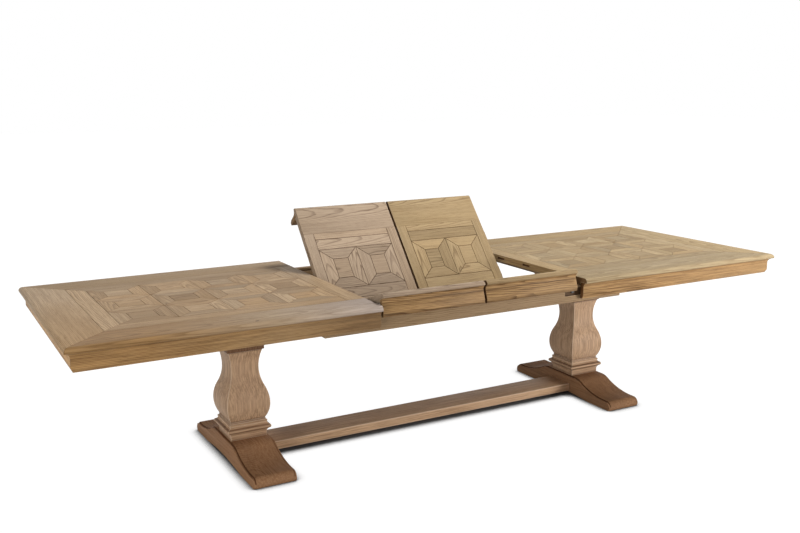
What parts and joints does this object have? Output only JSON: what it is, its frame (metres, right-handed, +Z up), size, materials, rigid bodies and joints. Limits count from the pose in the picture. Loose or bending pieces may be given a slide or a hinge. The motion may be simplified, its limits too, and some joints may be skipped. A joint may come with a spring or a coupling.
{
  "type": "extension dining table",
  "caption": "Long oak extension table on two square baluster pedestals joined by a low stretcher; half tops draw apart and hinged butterfly leaves unfold between them.",
  "frame": {"origin": "on the floor under the middle of the drawn-out table", "axes": "+X along the table, +Y from its front to its back, +Z up"},
  "size_m": [3.663, 1.2, 1.0801],
  "materials": {
    "oak_top": "matt oiled oak, weathered grey-tan",
    "oak_parquet": "matt oiled oak parquet",
    "oak_leaf": "matt oiled oak, warmer tan",
    "oak_apron": "matt oiled oak, golden brown",
    "oak_base": "matt oiled oak, mid brown",
    "frame_wood": "plain planed hardwood",
    "core_board": "plain board",
    "steel": "zinc plated",
    "brass": "satin"
  },
  "bodies": {
    "base_frame": {"left_foot": "oak_base", "right_foot": "oak_base", "left_plinth": "oak_base", "right_plinth": "oak_base", "left_baluster": "oak_base", "right_baluster": "oak_base", "stretcher": "oak_base", "tie_rods": "steel", "tie_rod_nuts": "steel", "left_cross_bearer": "frame_wood", "right_cross_bearer": "frame_wood", "runner_bearers": "frame_wood", "cross_rails": "frame_wood", "front_side_rail": "frame_wood", "back_side_rail": "frame_wood", "rail_bolts": "steel", "stop_bolts": "steel", "pivot_brackets": "steel", "bracket_screws": "steel", "left_pivot_rod": "steel"},
    "left_top": {"left_top_core": "core_board", "left_long_borders": "oak_top", "left_long_aprons": "oak_apron", "left_end_border": "oak_top", "left_end_apron": "oak_apron", "left_seam_border": "oak_top", "left_parquet": "oak_parquet", "left_slide_runners": "frame_wood", "left_seam_tongues": "frame_wood"},
    "right_top": {"right_top_core": "core_board", "right_long_borders": "oak_top", "right_long_aprons": "oak_apron", "right_end_border": "oak_top", "right_end_apron": "oak_apron", "right_seam_border": "oak_top", "right_parquet": "oak_parquet", "right_slide_runners": "frame_wood"},
    "right_leaf_carrier": {"right_pivot_rod": "steel"},
    "left_leaf_front": {"left_leaf_front_panel": "oak_leaf", "left_leaf_front_parquet": "oak_parquet", "left_leaf_front_apron": "oak_apron", "left_leaf_front_hinges": "brass", "left_leaf_front_tongues": "frame_wood", "left_leaf_front_lugs": "steel"},
    "left_leaf_back": {"left_leaf_back_panel": "oak_leaf", "left_leaf_back_parquet": "oak_parquet", "left_leaf_back_apron": "oak_apron", "left_leaf_back_hinges": "brass", "left_leaf_back_tongues": "frame_wood"},
    "right_leaf_front": {"right_leaf_front_panel": "oak_leaf", "right_leaf_front_parquet": "oak_parquet", "right_leaf_front_apron": "oak_apron", "right_leaf_front_hinges": "brass", "right_leaf_front_tongues": "frame_wood", "right_leaf_front_lugs": "steel"},
    "right_leaf_back": {"right_leaf_back_panel": "oak_leaf", "right_leaf_back_parquet": "oak_parquet", "right_leaf_back_apron": "oak_apron", "right_leaf_back_hinges": "brass", "right_leaf_back_tongues": "frame_wood"}
  },
  "joints": [
    {"name": "left_top_slide", "type": "slide", "parent": "base_frame", "child": "left_top", "axis": [1, 0, 0], "range_m": [0, 0.0105]},
    {"name": "right_top_slide", "type": "slide", "parent": "base_frame", "child": "right_top", "axis": [-1, 0, 0], "range_m": [0, 0.051]},
    {"name": "right_leaf_shift", "type": "slide", "parent": "base_frame", "child": "right_leaf_carrier", "axis": [-1, 0, 0], "range_m": [0, 0.0115]},
    {"name": "left_leaf_pivot", "type": "hinge", "parent": "base_frame", "child": "left_leaf_front", "pos_m": [-0.277, -0.44, 0.73], "axis": [1, 0, 0], "range_deg": [-30, 20]},
    {"name": "left_leaf_fold", "type": "hinge", "parent": "left_leaf_front", "child": "left_leaf_back", "pos_m": [-0.277, -0.00943, 0.6265], "axis": [1, 0, 0], "range_deg": [-70.26, 105.39]},
    {"name": "right_leaf_pivot", "type": "hinge", "parent": "right_leaf_carrier", "child": "right_leaf_front", "pos_m": [0.248, -0.44, 0.73], "axis": [1, 0, 0], "range_deg": [-30, 20]},
    {"name": "right_leaf_fold", "type": "hinge", "parent": "right_leaf_front", "child": "right_leaf_back", "pos_m": [0.248, -0.00943, 0.6265], "axis": [1, 0, 0], "range_deg": [-70.26, 105.39]}
  ],
  "couplings": [
    {"joint": "right_leaf_shift", "follows": "right_top_slide", "ratio": 0.22549},
    {"joint": "left_leaf_fold", "follows": "left_leaf_pivot", "ratio": -3.513},
    {"joint": "right_leaf_fold", "follows": "right_leaf_pivot", "ratio": -3.513}
  ]
}
